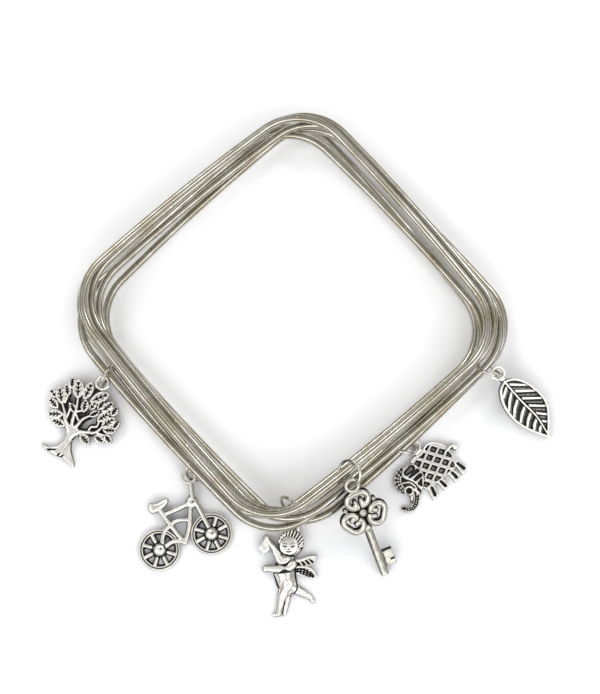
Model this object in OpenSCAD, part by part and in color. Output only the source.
// A pile of six square wire bangles lying on its side, with six cast charms on jump rings.
// The origin is on the floor at the middle of the wrist opening, +Z up, the floor at z = 0.
// The back of the pile is +Y, its right side +X.

/* [Bangles] */
// Width across the centre-lines of two opposite sides
bangle_w = 64; // [60:0.5:70]
// Diameter of the bangle wire
wire_d = 1.6; // [1.5:0.05:1.7]
// Bend radius of the corners, at the centre-line
corner_r = 11; // [9:0.5:14]
// How far each side bows outward at its middle
side_bow = 0.5; // [0.3:0.05:0.8]
// Air gap between two wires that lie on each other
wire_gap = 0.12; // [0.1:0.01:0.16]
// Angle at which the pile leans, in degrees, with its near side up on the charm rings
pile_lean = 0.646; // [0.6:0.01:0.7]

/* [Jump rings] */
// Diameter of a jump ring, at the centre of its wire
ring_d = 5; // [4.9:0.05:5.2]
// Wire of a jump ring
ring_wire = 0.6; // [0.5:0.05:0.65]

/* [Charm castings] */
// Diameter of the loop on each charm, at the centre of its bar
loop_d = 2.5; // [2.4:0.05:2.6]
// Bar of the loop
loop_bar = 0.64; // [0.55:0.05:0.7]
// Depth of a casting from its flat back to the middle of its loop
back_depth = 0.8; // [0.7:0.05:0.9]
// Depth of the dark recesses under the raised faces
recess = 0.55; // [0.4:0.05:0.7]
// Gap between the floor and a casting that rests on it
rest_gap = 0.03; // [0.01:0.01:0.05]

/* [Tree] */
// From the middle of the loop to the root tips
tree_len = 17.3; // [16:0.1:18.5]
// Width of a branch
branch_w = 0.42; // [0.36:0.02:0.6]

/* [Bicycle] */
// From the middle of the loop to the bottom of the wheels
bicycle_len = 16.25; // [15.5:0.05:17]
// Wheel diameter
wheel_d = 8.2; // [7.8:0.1:8.6]
// Diameter of the domed hubs and of the domed head
hub_d = 2.6; // [2.3:0.1:2.9]
// Diameter of the frame tubes
tube_d = 0.75; // [0.6:0.05:0.85]
// Spokes in each wheel
spokes = 8; // [6:1:10]

/* [Cherub] */
// From the middle of the loop to the toes
cherub_len = 19.4; // [18:0.1:20.5]
// Diameter of the head
head_d = 4.7; // [4.4:0.1:5]

/* [Key] */
// From the middle of the loop to the end of the shank
key_len = 20.5; // [19.6:0.1:21.5]
// Diameter of the shank
shank_d = 1.5; // [1.3:0.05:1.7]
// Bar of the curled lobes
lobe_bar = 1.05; // [0.95:0.05:1.15]
// Reach of a lobe from the middle of the bow
lobe_reach = 4.35; // [4.1:0.05:4.5]

/* [Elephant] */
// From the middle of the loop to the feet
elephant_len = 11; // [10.5:0.1:11.6]
// Side of a pierced square in the body
pierce_w = 0.85; // [0.7:0.05:1]
// Diameter of the beads on forehead and trunk
bead_d = 0.36; // [0.3:0.02:0.42]

/* [Leaf] */
// From the middle of the loop to the leaf's tip
leaf_len = 17; // [16:0.1:18]
// Width of the leaf
leaf_w = 7.9; // [7:0.1:8.6]
// Width of the raised rim and of the midrib
leaf_rim = 0.45; // [0.4:0.05:0.55]
// Raised veins on each side of the midrib
leaf_veins = 8; // [6:1:9]

/* [Hidden] */

wire_colour = "silver";
charm_colour = "lightgray";

// A bent bar is drawn slightly thinner, and laps into its neighbour by this angle
bend_thin = 0.985;
bend_lap = 0.5;

// Facets of a wire's section, of a limb, of a corner or ring, and of a full turn of a side's long arc
section_fn = 32;
limb_fn = 16;
turn_fn = 72;
side_fn = 2160;

// Rounded square whose sides are long arcs: radius and centre of a side's arc, and of a corner's
half_w = bangle_w / 2;
half_chord = half_w - corner_r;
side_r = (pow(half_chord, 2) + pow(side_bow, 2)) / (2 * side_bow);
side_c = half_w - side_r;
corner_c = (side_c + sqrt(2 * pow(side_r - corner_r, 2) - pow(side_c, 2))) / 2;
join_angle = asin(corner_c / (side_r - corner_r));
corner_reach = corner_c * sqrt(2) + corner_r;
far_bearing = 48.7;
far = [cos(far_bearing), sin(far_bearing)];

// How the loose bangles lie, bottom to top: shift in x and y in wires, turn, and shares of the lean
lie_x = 0;
lie_y = 1;
lie_turn = 2;
lie_lean = 3;
pile = [
    [-1.3125, 1.1875, -1.7, 1],
    [0.75, -1.625, 2.0, 1],
    [-2.125, -0.4375, 1.3, 1],
    [0.25, -1.125, -0.9, 1],
    [0.125, 0.0625, -0.8, 1],
    [-0.9375, 0.25, -1.2, 2]
];

// Where each ring hangs: bangle, bearing of the side, and place along it as a share of half the side.
// The ring's middle from the wire's, out, along and up, and the loop's from the ring's, are in ring
// radii. Bearings of the ring's axis and of the charm are from the side's outward one.
on_bangle = 0;
on_side = 1;
on_share = 2;
ring_out = 3;
ring_along = 4;
ring_up = 5;
ring_bearing = 6;
ring_rise = 7;
loop_out = 8;
loop_along = 9;
loop_up = 10;
charm_turn = 11;
tree_hang = [2, 180, -0.509, 0.184, -0.049, -0.243, 110, 0, 0.595, 0.088, -0.728, 107.5];
bicycle_hang = [0, 180, 0.434, 0.032, -0.05, 0.2, 86, 45.5, 0.96, -0.05, -0.04, 155.8];
cherub_hang = [0, -90, -0.701, -0.026, -0.015, 0.403, 107, -21, 1.061, 0.009, -0.42, 60.5];
key_hang = [5, -90, -0.343, 0.277, 0.02, 0.134, -107.5, 50.5, 0.869, -0.429, -0.176, 73.4];
elephant_hang = [1, -90, -0.095, -0.03, 0.019, -0.272, 118, 33.5, 0.477, 0.615, -0.504, 84.1];
leaf_hang = [3, -90, 0.672, 0.404, 0.031, 0.01, 111.5, 23.5, 0.642, 0.433, -0.388, 84.2];

function turned(p, angle) = [p.x * cos(angle) - p.y * sin(angle), p.x * sin(angle) + p.y * cos(angle)];
function bearing(angle) = [cos(angle), sin(angle)];

// Height of a bangle's centre-line over the floor at plan point p
function wire_z(i, p) =
    wire_d / 2 + i * (wire_d + wire_gap) + pile[i][lie_lean] * tan(pile_lean) * (corner_reach - p * far);

// Turn of the outline's normal at a distance s along a side from its middle
function normal_at(s) =
    abs(s) < side_r * sin(join_angle) ? asin(s / side_r)
        : sign(s) * asin((abs(s) - corner_c) / corner_r);
function outline_at(s) =
    abs(s) < side_r * sin(join_angle) ? [side_c + side_r * cos(normal_at(s)), s]
        : [corner_c + corner_r * cos(normal_at(s)), s];

// Outward bearing at a hanging place, the wire's middle there, the ring's and the loop's
function hang_share(h) = h[on_share] * half_w;
function out_bearing(h) = pile[h[on_bangle]][lie_turn] + h[on_side] + normal_at(hang_share(h));
function wire_plan(h) =
    let(b = pile[h[on_bangle]])
    [b[lie_x], b[lie_y]] * wire_d + turned(outline_at(hang_share(h)), h[on_side] + b[lie_turn]);
function wire_point(h) = let(p = wire_plan(h)) [p.x, p.y, wire_z(h[on_bangle], p)];
function offset_by(h, out, along, up) =
    let(p = (bearing(out_bearing(h)) * out + bearing(out_bearing(h) + 90) * along) * ring_d / 2)
    [p.x, p.y, up * ring_d / 2];
function ring_point(h) = wire_point(h) + offset_by(h, h[ring_out], h[ring_along], h[ring_up]);
function loop_point(h) = ring_point(h) + offset_by(h, h[loop_out], h[loop_along], h[loop_up]);

// Tilt that brings the back edge of a casting of this length down to the floor
function rest_tilt(h, length) =
    asin((loop_point(h).z - rest_gap) / norm([length, back_depth])) - atan(back_depth / length);

// Shared wire and casting shapes

module arc_bar(r, d, from, to, fn) {
    rotate([0, 0, from])
        rotate_extrude(angle = to - from, $fn = fn)
            translate([r, 0])
                circle(d = d, $fn = section_fn);
}

module bangle(i) {
    at = [pile[i][lie_x], pile[i][lie_y]] * wire_d;
    bend_from = join_angle - bend_lap;
    color(wire_colour)
        translate([at.x, at.y, wire_z(i, at)])
            rotate(a = pile[i][lie_lean] * pile_lean, v = [-far.y, far.x, 0])
                for (side = [0:90:270])
                    rotate([0, 0, side + pile[i][lie_turn]]) {
                        translate([side_c, 0, 0])
                            arc_bar(side_r, wire_d, -join_angle, join_angle, side_fn);
                        translate([corner_c, corner_c, 0])
                            arc_bar(corner_r, wire_d * bend_thin, bend_from, 90 - bend_from, turn_fn);
                    }
}

module jump_ring(h) {
    color(wire_colour)
        translate(ring_point(h))
            rotate([0, 90 - h[ring_rise], out_bearing(h) + h[ring_bearing]])
                rotate_extrude($fn = turn_fn)
                    translate([ring_d / 2, 0])
                        circle(d = ring_wire, $fn = section_fn);
}

module charm_loop() {
    rotate_extrude($fn = turn_fn)
        translate([loop_d / 2, 0])
            circle(d = loop_bar, $fn = section_fn);
}

// Lays a casting from its loop to the floor
module hung(h, length) {
    color(charm_colour)
        translate(loop_point(h))
            rotate([rest_tilt(h, length), 0, out_bearing(h) + h[charm_turn]])
                children();
}

// Extrudes a flat outline up from the back of a casting
module cast_plate(thick) {
    translate([0, 0, -back_depth])
        linear_extrude(thick)
            children();
}

// Keeps what is in front of a casting's flat back
module flat_back(reach) {
    intersection() {
        children();
        translate([-reach, -reach, -back_depth])
            cube([2 * reach, 2 * reach, 2 * reach]);
    }
}

module stroke(p, q, w) {
    d = q - p;
    translate(p)
        rotate(atan2(d.y, d.x))
            translate([0, -w / 2])
                square([norm(d), w]);
    translate(p)
        circle(d = w, $fn = section_fn);
    translate(q)
        circle(d = w, $fn = section_fn);
}

// Flat band that follows a bent path
function across(points, i) =
    let(d = points[min(i + 1, len(points) - 1)] - points[max(i - 1, 0)]) [-d.y, d.x] / norm(d);
module ribbon(points, w) {
    last = len(points) - 1;
    polygon(concat(
        [for (i = [0:last]) points[i] + across(points, i) * w / 2],
        [for (i = [last:-1:0]) points[i] - across(points, i) * w / 2]
    ));
}

// Round bar between two points in the plane
module bar(p, q, d, z) {
    v = q - p;
    translate([p.x, p.y, z])
        rotate([0, 90, atan2(v.y, v.x)])
            cylinder(d = d, h = norm(v), $fn = section_fn);
}

// Half-round cast bar, drawn as a wide layer with a narrower one on it
module cast_bar(p, q, d, top) {
    cast_plate(back_depth + top - d * 0.25)
        stroke(p, q, d);
    cast_plate(back_depth + top)
        stroke(p, q, d * 0.6);
}

// Round tapered limb between two balls
module limb(p, q, d1, d2, z) {
    hull() {
        translate([p.x, p.y, z])
            sphere(d = d1, $fn = limb_fn);
        translate([q.x, q.y, z])
            sphere(d = d2, $fn = limb_fn);
    }
}

// Pointed oval from foot to tip
module lens(foot, tip, w) {
    v = tip - foot;
    r = (pow(norm(v), 2) + pow(w, 2)) / (4 * w);
    translate((foot + tip) / 2)
        rotate(atan2(v.y, v.x))
            intersection() {
                translate([0, r - w / 2])
                    circle(r = r, $fn = turn_fn);
                translate([0, w / 2 - r])
                    circle(r = r, $fn = turn_fn);
            }
}

// Tree, in shares of its length, with the loop at the origin
tree_leaves = [
    // foot x, foot y, tip x, tip y, width
    [-0.15, -0.295, -0.255, -0.115, 0.115],
    [-0.08, -0.265, -0.1, -0.06, 0.095],
    [0.02, -0.24, 0.125, -0.07, 0.1],
    [-0.275, -0.445, -0.4, -0.305, 0.095],
    [-0.26, -0.335, -0.345, -0.235, 0.075],
    [-0.27, -0.235, -0.325, -0.135, 0.075],
    [-0.37, -0.42, -0.465, -0.385, 0.07],
    [-0.29, -0.52, -0.425, -0.475, 0.08],
    [-0.2, -0.55, -0.345, -0.635, 0.09],
    [-0.11, -0.65, -0.27, -0.665, 0.085],
    [-0.09, -0.455, -0.18, -0.395, 0.06],
    [-0.005, -0.4, -0.055, -0.27, 0.075],
    [0.08, -0.405, 0.145, -0.305, 0.06],
    [0.045, -0.335, 0.055, -0.23, 0.06],
    [0.125, -0.285, 0.13, -0.17, 0.065],
    [0.175, -0.28, 0.23, -0.13, 0.08],
    [0.295, -0.265, 0.295, -0.15, 0.075],
    [0.19, -0.4, 0.25, -0.26, 0.085],
    [0.27, -0.435, 0.34, -0.275, 0.09],
    [0.39, -0.385, 0.4, -0.27, 0.06],
    [0.3, -0.455, 0.425, -0.39, 0.075],
    [0.105, -0.64, 0.24, -0.68, 0.09],
    [0.255, -0.565, 0.375, -0.575, 0.075],
    [0.35, -0.495, 0.45, -0.535, 0.075]
];
tree_branches = [
    [[-0.03, -0.66], [-0.15, -0.58], [-0.285, -0.435]],
    [[-0.04, -0.61], [-0.07, -0.53], [-0.085, -0.455], [-0.012, -0.385]],
    [[0.01, -0.61], [0.03, -0.48], [0.087, -0.392]],
    [[0.03, -0.64], [0.14, -0.585], [0.235, -0.53], [0.277, -0.42]],
    [[-0.158, -0.281], [-0.11, -0.385], [-0.08, -0.46]],
    [[-0.09, -0.455], [0.02, -0.53]],
    [[0.16, -0.575], [0.16, -0.505], [0.215, -0.46], [0.196, -0.386]],
    [[-0.14, -0.56], [-0.16, -0.46], [-0.2, -0.4]],
    [[-0.268, -0.323], [-0.25, -0.42]],
    [[0.05, -0.62], [0.11, -0.645]],
    [[0.235, -0.53], [0.36, -0.5]]
];
tree_trunk = [
    [-0.115, -0.63], [-0.055, -0.7], [-0.035, -0.775], [-0.05, -0.86], [-0.09, -0.915], [-0.15, -0.945],
    [-0.225, -0.955], [-0.235, -0.97], [-0.15, -0.995], [-0.08, -1], [0.005, -1], [0.07, -0.975],
    [0.13, -0.99], [0.205, -1], [0.23, -0.99], [0.15, -0.935], [0.105, -0.9], [0.065, -0.85],
    [0.05, -0.775], [0.06, -0.7], [0.09, -0.63], [0.01, -0.585]
];
// Heights over the middle of the loop, in back depths
boss_rise = 0.25;
leaf_rise = 0.56;
branch_rise = 0.44;
trunk_rise = 0.75;
foot_x = 0;
foot_y = 1;
tip_x = 2;
tip_y = 3;
lens_w = 4;
leaf_spread = 1.3;

module tree_leaf(row, spread) {
    foot = [row[foot_x], row[foot_y]] * tree_len;
    tip = [row[tip_x], row[tip_y]] * tree_len;
    grow = (tip - foot) * (spread - 1) / 2;
    lens(foot - grow, tip + grow, row[lens_w] * tree_len * spread);
}

module charm_tree() {
    leaf_top = back_depth * (1 + leaf_rise);
    hung(tree_hang, tree_len) {
        charm_loop();
        cast_plate(back_depth * (1 + boss_rise))
            difference() {
                stroke([0, -loop_d / 2], [-0.06, -0.2] * tree_len, 3 * loop_bar);
                circle(d = loop_d, $fn = turn_fn);
            }
        cast_plate(leaf_top - recess)
            difference() {
                for (row = tree_leaves)
                    tree_leaf(row, leaf_spread);
                circle(d = loop_d, $fn = turn_fn);
            }
        cast_plate(leaf_top)
            for (row = tree_leaves)
                tree_leaf(row, 1);
        cast_plate(back_depth * (1 + branch_rise))
            for (points = tree_branches)
                ribbon(points * tree_len, branch_w);
        cast_plate(back_depth * (1 + trunk_rise))
            polygon(tree_trunk * tree_len);
    }
}

// Bicycle, in shares of its length
bicycle_front = [0.065, -0.745];
bicycle_rear = [-0.595, -0.745];
bicycle_head = [-0.055, -0.31];
bicycle_bracket = [-0.285, -0.755];
bicycle_seat = [-0.46, -0.285];
bicycle_cross = [-0.385, -0.53];
bicycle_stay_a = [-0.49, -0.6];
bicycle_stay_b = [-0.4, -0.7];
bicycle_arch = [-0.28, -0.47];
bicycle_tubes = [
    [[0.005, -0.1], bicycle_head],
    [bicycle_head, bicycle_bracket],
    [bicycle_head, bicycle_front],
    [bicycle_head, [-0.425, -0.365]],
    [bicycle_seat, bicycle_cross],
    [bicycle_cross, bicycle_bracket],
    [[-0.15, -0.49], bicycle_arch],
    [bicycle_arch, bicycle_cross],
    [bicycle_cross, bicycle_stay_a],
    [bicycle_stay_a, bicycle_rear],
    [bicycle_rear, bicycle_stay_b],
    [bicycle_stay_b, bicycle_bracket]
];
spoke_angle = 11.5;
// Rim width in wheel diameters, its ridges in rim widths, and its drop below the loop in back depths
rim_share = 0.105;
ridge_share = 0.45;
rim_drop = 0.125;

module bicycle_wheel(at) {
    rim_w = wheel_d * rim_share;
    ridge = rim_w * ridge_share;
    translate(at * bicycle_len) {
        cast_plate(back_depth * (1 - rim_drop))
            difference() {
                circle(d = wheel_d, $fn = turn_fn);
                circle(d = wheel_d - 2 * rim_w, $fn = turn_fn);
            }
        for (d = [wheel_d - ridge, wheel_d - 2 * rim_w + ridge])
            rotate_extrude($fn = turn_fn)
                translate([d / 2, 0])
                    circle(d = ridge, $fn = section_fn);
        for (i = [0:spokes - 1])
            bar([0, 0], bearing(spoke_angle + i * 360 / spokes) * (wheel_d - rim_w) / 2, tube_d * 0.65,
                -back_depth / 3);
        bicycle_dome();
    }
}

module bicycle_dome() {
    flat_back(hub_d)
        translate([0, 0, -back_depth])
            sphere(d = hub_d, $fn = turn_fn);
}

module charm_bicycle() {
    hung(bicycle_hang, bicycle_len) {
        charm_loop();
        bicycle_wheel(bicycle_front);
        bicycle_wheel(bicycle_rear);
        translate(bicycle_head * bicycle_len)
            bicycle_dome();
        for (ends = bicycle_tubes)
            cast_bar(ends[0] * bicycle_len, ends[1] * bicycle_len, tube_d, tube_d * 0.35);
        cast_bar([-0.53, -0.23] * bicycle_len, [-0.45, -0.225] * bicycle_len, tube_d * 2.1, tube_d * 0.5);
        cast_bar([-0.46, -0.23] * bicycle_len, [-0.365, -0.225] * bicycle_len, tube_d * 1.2, tube_d * 0.6);
    }
}

// Cherub, in shares of its length
cherub_head = [-0.065, -0.245];
cherub_limbs = [
    // from x, from y, to x, to y, first diameter, second diameter, height of the middle
    [0.005, -0.085, -0.015, -0.16, 0.05, 0.05, 0],
    [-0.115, -0.42, -0.135, -0.52, 0.17, 0.195, -0.045],
    [-0.135, -0.52, -0.105, -0.63, 0.195, 0.175, -0.045],
    [-0.185, -0.42, -0.285, -0.24, 0.09, 0.06, 0],
    [-0.285, -0.24, -0.33, -0.185, 0.06, 0.075, 0],
    [-0.05, -0.44, -0.16, -0.485, 0.09, 0.08, 0.035],
    [-0.16, -0.485, -0.335, -0.48, 0.08, 0.065, 0.035],
    [-0.09, -0.65, -0.135, -0.77, 0.16, 0.09, -0.01],
    [-0.135, -0.77, -0.18, -0.94, 0.085, 0.05, -0.01],
    [-0.18, -0.945, -0.23, -0.97, 0.05, 0.05, -0.01],
    [-0.1, -0.77, -0.125, -0.94, 0.07, 0.05, -0.02],
    [-0.05, -0.68, 0.06, -0.755, 0.13, 0.085, -0.02],
    [0.06, -0.755, 0.16, -0.835, 0.085, 0.055, -0.02]
];
cherub_wings = [
    [[-0.05, -0.42], [0.1, -0.375], [0.2, -0.375], [0.21, -0.395], [0.15, -0.42], [0.13, -0.455],
     [-0.03, -0.47]],
    [[-0.05, -0.46], [0.11, -0.46], [0.17, -0.5], [0.205, -0.585], [0.16, -0.595], [0.05, -0.545],
     [-0.05, -0.53]]
];
cherub_token = [[-0.355, -0.225], [-0.4, -0.285], [-0.35, -0.375], [-0.28, -0.305], [-0.315, -0.225]];
// Heights over the middle of the loop, in back depths, and the arc of curls round the head
wing_rise = 0.125;
token_rise = 0.25;
curl_from = -35;
curl_arc = 250;
limb_start = 4;
limb_end = 5;
limb_z = 6;
curls = 13;
curl_out = 0.45;
curl_share = 0.2;

function curl_at(i) = bearing(curl_from + i * curl_arc / (curls - 1)) * head_d * curl_out;

module charm_cherub() {
    hung(cherub_hang, cherub_len) {
        charm_loop();
        flat_back(cherub_len) {
            translate([cherub_head.x * cherub_len, cherub_head.y * cherub_len, -back_depth * 1.2])
                sphere(d = head_d, $fn = section_fn);
            for (i = [0:curls - 1])
                translate(cherub_head * cherub_len + curl_at(i))
                    sphere(d = head_d * curl_share, $fn = limb_fn);
            for (row = cherub_limbs)
                limb([row.x, row.y] * cherub_len, [row[tip_x], row[tip_y]] * cherub_len,
                     row[limb_start] * cherub_len, row[limb_end] * cherub_len, row[limb_z] * cherub_len);
        }
        for (points = cherub_wings)
            cast_plate(back_depth * (1 + wing_rise))
                polygon(points * cherub_len);
        cast_plate(back_depth * (1 + token_rise))
            polygon(cherub_token * cherub_len);
    }
}

// Key, in shares of its length
// How far the top lobe laps into the loop, in mm, and how far the bow sits to the side
bow_lap = 0.2335;
bow_x = 0.005;
lobe_bearings = [93, -27, -147];
bit_top = -0.765;
bit_end = -0.93;
bit_reach = 0.145;
shank_flat = 0.06;
lobe_bend = 0.32;
lobe_side = 0.155;
end_thin = 0.96;
// Bearing of the shank from the bow, angle by which a lobe wraps past its half turn
shank_bearing = -87;
fist_wrap = 20;
// Place of the fists in bends, place of the dots in reaches, and diameters in lobe bars
fist_place = 1.75;
fist_d = 1.25;
dot_reach = 0.8;
dot_bar = 0.7;
boss_d = 1.6;
// Radius of the web behind the lobes, in bends short of the reach
web_short = 1.8;

// One lobe: a bean-shaped bar whose two ends swell into rounded fists near the middle of the bow
module key_lobe() {
    bend = lobe_reach * lobe_bend;
    side = lobe_reach * lobe_side;
    lap = lobe_bar / 8;
    for (s = [-1, 1]) {
        from = s > 0 ? 0 : 180 - fist_wrap;
        translate([lobe_reach - bend, s * side, 0])
            arc_bar(bend, lobe_bar, from, from + 180 + fist_wrap, turn_fn);
        translate([lobe_reach - fist_place * bend, s * side, 0])
            sphere(d = lobe_bar * fist_d, $fn = section_fn);
    }
    bar([lobe_reach, -side - lap], [lobe_reach, side + lap], lobe_bar * end_thin, 0);
}

module charm_key() {
    bow_y = bow_lap - (loop_d + loop_bar + lobe_bar) / 2 - lobe_reach;
    bow = [bow_x * key_len, bow_y];
    shank_top = bow + bearing(shank_bearing) * lobe_reach * dot_reach;
    shank_end = [0, -key_len];
    hung(key_hang, key_len) {
        charm_loop();
        flat_back(key_len)
            translate([bow.x, bow.y, 0]) {
                for (b = lobe_bearings)
                    rotate([0, 0, b]) {
                        key_lobe();
                        rotate([0, 0, 60]) {
                            translate([lobe_reach * dot_reach, 0, 0])
                                sphere(d = lobe_bar, $fn = section_fn);
                            bar([0, 0], [lobe_reach * dot_reach, 0], lobe_bar * dot_bar, -back_depth / 2);
                        }
                    }
                sphere(d = lobe_bar * boss_d, $fn = section_fn);
            }
        cast_plate(back_depth)
            translate(bow)
                circle(r = lobe_reach * (1 - web_short * lobe_bend), $fn = turn_fn);
        flat_back(key_len)
            bar(shank_top, shank_end, shank_d, shank_d / 2 - back_depth - shank_flat);
        translate([shank_end.x, bit_end * key_len, -back_depth])
            difference() {
                cube([bit_reach * key_len, (bit_top - bit_end) * key_len, shank_d * 0.7]);
                translate([bit_reach * key_len * 0.62, shank_d * 0.55, -shank_d])
                    cube([bit_reach * key_len, shank_d * 0.25, 3 * shank_d]);
            }
    }
}

// Elephant, in shares of its length
elephant_body = [
    [0.02, -0.19], [0.15, -0.13], [0.27, -0.12], [0.36, -0.185], [0.44, -0.28], [0.47, -0.36],
    [0.475, -0.47], [0.475, -0.6], [0.44, -0.7], [0.35, -0.76], [0.2, -0.775], [0.02, -0.77],
    [-0.17, -0.78], [-0.27, -0.77], [-0.32, -0.6], [-0.25, -0.3], [-0.1, -0.21]
];
elephant_inner = [
    [0, -0.24], [0.16, -0.165], [0.24, -0.165], [0.32, -0.225], [0.39, -0.31], [0.415, -0.4],
    [0.42, -0.48], [0.42, -0.58], [0.39, -0.655], [0.32, -0.7], [0.2, -0.72], [0.02, -0.715],
    [-0.15, -0.725], [-0.26, -0.71], [-0.24, -0.4], [-0.12, -0.25]
];
elephant_ear = [
    [-0.375, -0.2], [-0.225, -0.215], [-0.155, -0.29], [-0.125, -0.39], [-0.145, -0.5], [-0.215, -0.61],
    [-0.325, -0.695], [-0.385, -0.69], [-0.43, -0.56], [-0.505, -0.37], [-0.455, -0.245]
];
elephant_brow = [[-0.45, -0.215], [-0.56, -0.255], [-0.635, -0.34], [-0.66, -0.44], [-0.645, -0.54]];
elephant_trunk = [
    [-0.47, -0.7], [-0.53, -0.79], [-0.6, -0.85], [-0.69, -0.875], [-0.77, -0.84], [-0.825, -0.78]
];
elephant_legs = [
    [[0.405, -0.62], [0.48, -0.66], [0.54, -0.89], [0.4, -0.945]],
    [[0.2, -0.75], [0.33, -0.74], [0.35, -0.92], [0.215, -0.975]],
    [[-0.05, -0.75], [0.07, -0.75], [0.09, -0.935], [-0.035, -0.965]],
    [[-0.25, -0.72], [-0.13, -0.73], [-0.16, -0.965], [-0.305, -0.985]]
];
elephant_grooves = [
    [[0.465, -0.73], [0.495, -0.85]],
    [[0.3, -0.81], [0.295, -0.9]],
    [[0, -0.81], [0.02, -0.915]],
    [[-0.18, -0.8], [-0.215, -0.92]]
];
elephant_tail = [[0.43, -0.415], [0.56, -0.4], [0.6, -0.47]];
ear_stripes = [
    [[-0.37, -0.41], [-0.215, -0.41]],
    [[-0.34, -0.49], [-0.22, -0.505]],
    [[-0.33, -0.6], [-0.255, -0.59]]
];
ear_hole = [[-0.45, -0.31], [-0.2, -0.285]];
elephant_eye = [-0.555, -0.585];
// Heights over the middle of the loop, in back depths, and the rim in shares of the length
body_rise = 0.19;
leg_rise = 0.375;
ear_rise = 0.75;
eye_rise = 0.5;
rim_w_share = 0.045;
lattice_at = [0.055, -0.53];
lattice_row = -53.3;
lattice_row_pitch = 0.151;
lattice_column = 27.8;
lattice_column_pitch = 0.165;

module elephant_lattice() {
    for (i = [-2:2], j = [-2:2])
        translate((lattice_at + bearing(lattice_row) * lattice_row_pitch * i
                   + bearing(lattice_column) * lattice_column_pitch * j) * elephant_len)
            rotate(lattice_row)
                square(pierce_w, center = true);
}

module charm_elephant() {
    rim = elephant_len * rim_w_share;
    eye = elephant_eye * elephant_len;
    groove_z = back_depth - recess;
    hung(elephant_hang, elephant_len) {
        charm_loop();
        cast_plate(back_depth * (1 + body_rise))
            difference() {
                union() {
                    polygon(elephant_body * elephant_len);
                    stroke([0, -loop_d / 2], [0.05, -0.2] * elephant_len, 2.4 * loop_bar);
                    ribbon(elephant_tail * elephant_len, 1.6 * rim);
                }
                circle(d = loop_d, $fn = turn_fn);
                intersection() {
                    elephant_lattice();
                    polygon(elephant_inner * elephant_len);
                }
            }
        difference() {
            cast_plate(back_depth * (1 + leg_rise))
                for (points = elephant_legs)
                    polygon(points * elephant_len);
            translate([0, 0, groove_z])
                cast_plate(2 * back_depth)
                    for (points = elephant_grooves)
                        ribbon(points * elephant_len, 0.8 * rim);
        }
        difference() {
            cast_plate(back_depth * (1 + ear_rise))
                difference() {
                    polygon(elephant_ear * elephant_len);
                    lens(ear_hole[0] * elephant_len, ear_hole[1] * elephant_len, 2 * rim);
                }
            translate([0, 0, back_depth])
                cast_plate(2 * back_depth)
                    for (points = ear_stripes)
                        ribbon(points * elephant_len, rim);
        }
        cast_plate(back_depth)
            ribbon(elephant_brow * elephant_len, 2.6 * rim);
        for (points = [elephant_brow, elephant_trunk], i = [1:len(points) - 1], t = [0, 0.5]) {
            p = (points[i - 1] * (1 - t) + points[i] * t) * elephant_len;
            translate([p.x, p.y, 0])
                sphere(d = bead_d, $fn = section_fn);
        }
        cast_plate(back_depth)
            ribbon(elephant_trunk * elephant_len, 2.4 * rim);
        cast_plate(back_depth)
            ribbon([[-0.5, -0.3], [-0.56, -0.45], [-0.53, -0.6], [-0.44, -0.68]] * elephant_len, 3.6 * rim);
        cast_plate(back_depth * (1 + eye_rise))
            translate(eye)
                difference() {
                    circle(r = 2.2 * rim, $fn = turn_fn);
                    circle(r = 1.2 * rim, $fn = turn_fn);
                }
    }
}

// Leaf: an egg-shaped outline whose half-width follows a sine pulled towards the base
leaf_x = 0.01;
// From the loop down to the base of the leaf, in mm
leaf_below = 0.47;
leaf_base = [leaf_x * leaf_len, -(loop_d + loop_bar) / 2 - leaf_below];
leaf_skew = 0.8;
leaf_right = 0.55;
leaf_steps = 16;
// Angle of the veins under the level, the first vein and the veinless end in vein pitches
vein_angle = 38;
first_vein = 0.35;
veinless = 1.5;

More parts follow.
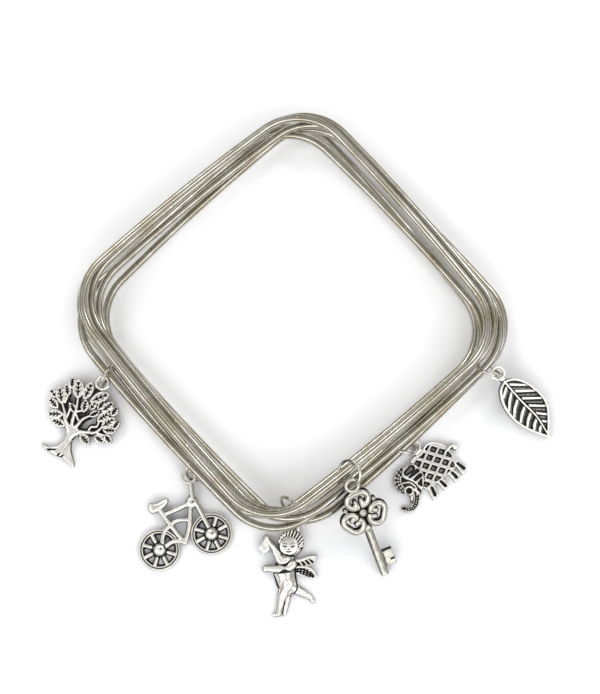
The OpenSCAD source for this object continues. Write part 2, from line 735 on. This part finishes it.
function leaf_half(t) = sin(180 * pow(t, leaf_skew));
function leaf_edge(t, share, inset, length) =
    [(share * leaf_w - inset) * leaf_half(t), -inset - t * (length - 2 * inset)];

module leaf_outline(inset) {
    length = leaf_len + leaf_base.y;
    translate(leaf_base)
        polygon(concat(
            [for (i = [0:leaf_steps]) leaf_edge(i / leaf_steps, leaf_right, inset, length)],
            [for (i = [leaf_steps - 1:-1:1]) leaf_edge(i / leaf_steps, leaf_right - 1, -inset, length)
                - [0, 2 * inset * (1 - 2 * i / leaf_steps)]]
        ));
}

module charm_leaf() {
    tip = [leaf_base.x, -leaf_len];
    stem_top = [leaf_base.x, -(loop_d + loop_bar) / 2];
    pitch = (leaf_base.y - tip.y) / (leaf_veins + veinless);
    hung(leaf_hang, leaf_len) {
        charm_loop();
        cast_plate(2 * back_depth - recess)
            leaf_outline(0);
        cast_plate(2 * back_depth)
            difference() {
                leaf_outline(0);
                leaf_outline(leaf_rim);
            }
        cast_plate(2 * back_depth)
            difference() {
                stroke(stem_top, tip + [0, 2 * leaf_rim], leaf_rim);
                circle(d = loop_d, $fn = turn_fn);
            }
        cast_plate(2 * back_depth - recess / 3)
            intersection() {
                leaf_outline(leaf_rim / 2);
                for (i = [0:leaf_veins - 1], s = [-1, 1])
                    translate([leaf_base.x, leaf_base.y - pitch * (i + first_vein)])
                        rotate(s > 0 ? -vein_angle : 180 + vein_angle)
                            translate([0, -leaf_rim / 2])
                                square([leaf_w, leaf_rim]);
            }
    }
}

bangle(0);  // bangle_1
bangle(1);  // bangle_2
bangle(2);  // bangle_3
bangle(3);  // bangle_4
bangle(4);  // bangle_5
bangle(5);  // bangle_6
jump_ring(tree_hang);  // ring_tree
jump_ring(bicycle_hang);  // ring_bicycle
jump_ring(cherub_hang);  // ring_cherub
jump_ring(key_hang);  // ring_key
jump_ring(elephant_hang);  // ring_elephant
jump_ring(leaf_hang);  // ring_leaf
charm_tree();
charm_bicycle();
charm_cherub();
charm_key();
charm_elephant();
charm_leaf();
